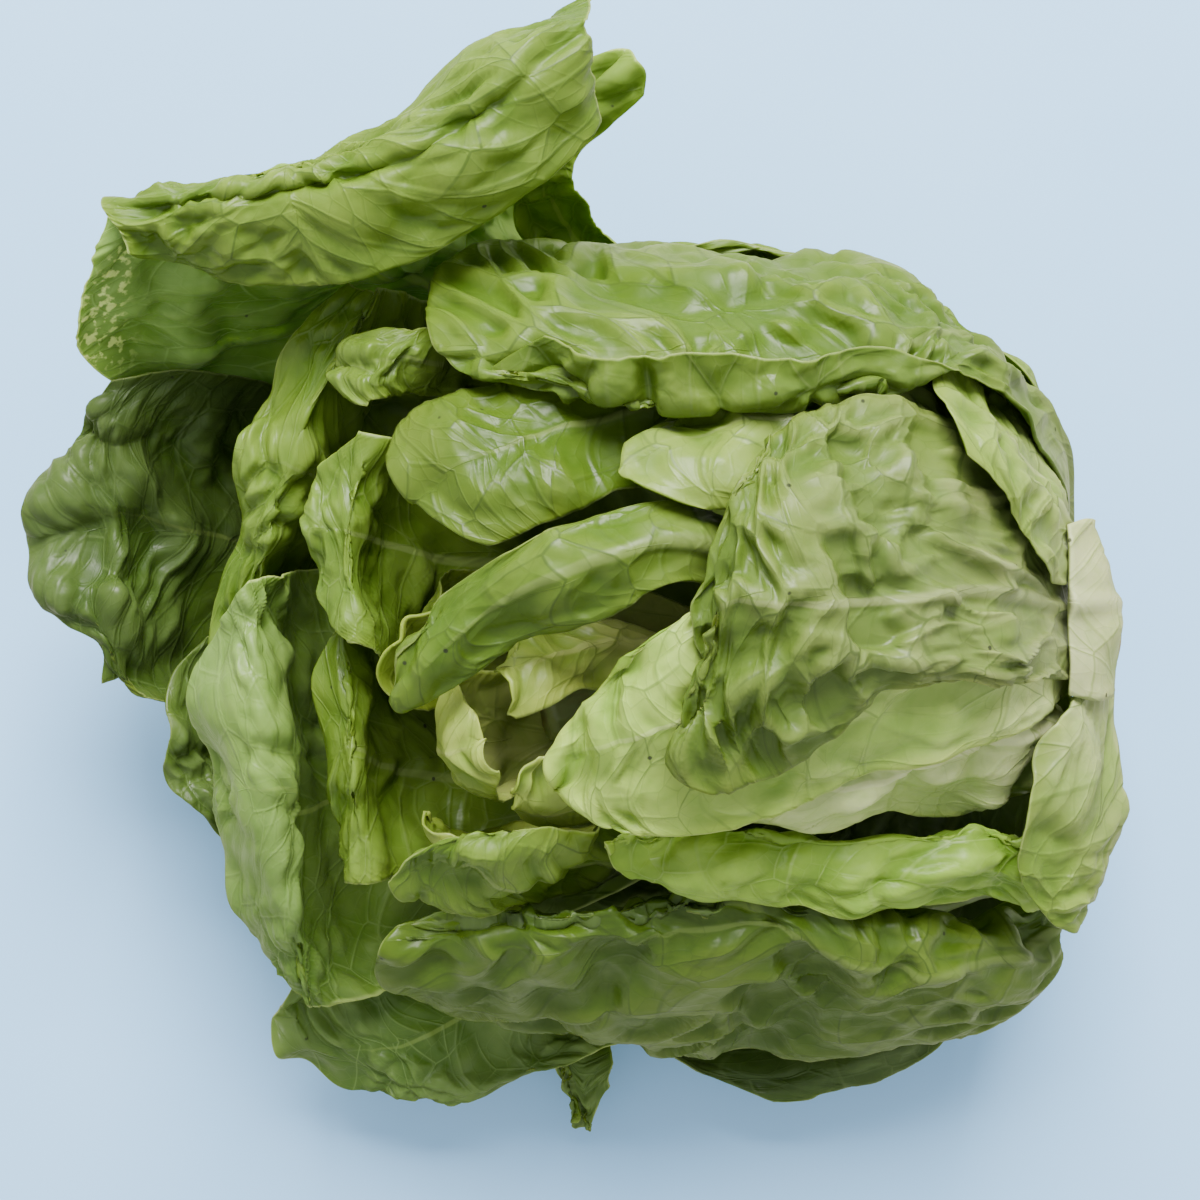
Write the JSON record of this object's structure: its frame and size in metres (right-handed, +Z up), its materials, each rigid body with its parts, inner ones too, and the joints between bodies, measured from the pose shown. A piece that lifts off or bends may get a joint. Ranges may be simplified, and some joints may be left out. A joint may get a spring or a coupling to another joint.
{
  "type": "head of lettuce",
  "caption": "Head of butterhead lettuce lying on its side, soft crumpled leaves wrapped round a pale heart, looser outer leaves splayed out and a cut stem.",
  "frame": {"origin": "centre of the common box in X and Y, at the floor the head lies on", "axes": "+Z up from the floor, +X from the open heart towards the cut stem, +Y towards the tall curled outer leaf"},
  "size_m": [0.2302, 0.237, 0.1388],
  "materials": {
    "cut_stem": "moist, cut",
    "heart_leaf": "soft satin",
    "pale_leaf": "soft satin",
    "green_leaf": "soft gloss",
    "outer_leaf": "soft gloss"
  },
  "bodies": {
    "root": {"stem": "cut_stem", "heart_leaf_1": "heart_leaf", "heart_leaf_2": "heart_leaf", "heart_leaf_3": "heart_leaf", "heart_leaf_4": "heart_leaf", "heart_leaf_5": "heart_leaf", "rim_back": "green_leaf", "hood": "green_leaf", "rim_left": "green_leaf", "rim_low": "green_leaf", "rim_top": "green_leaf", "rim_front": "green_leaf", "shoulder": "pale_leaf", "pale_side": "pale_leaf", "under_front": "pale_leaf", "front_wrapper": "pale_leaf", "side_wrapper": "green_leaf", "back_rib": "pale_leaf", "top_wrapper": "green_leaf", "low_wrapper": "outer_leaf", "long_left": "outer_leaf", "upper_left": "green_leaf", "back_wrapper": "green_leaf", "under_back": "outer_leaf", "low_left": "outer_leaf", "low_outer": "outer_leaf", "splayed_low": "outer_leaf", "under_front_low": "outer_leaf", "right_wrapper": "pale_leaf", "torn_base": "pale_leaf", "splayed_left": "outer_leaf", "back_tall": "green_leaf", "curled_top": "outer_leaf"}
  },
  "joints": []
}
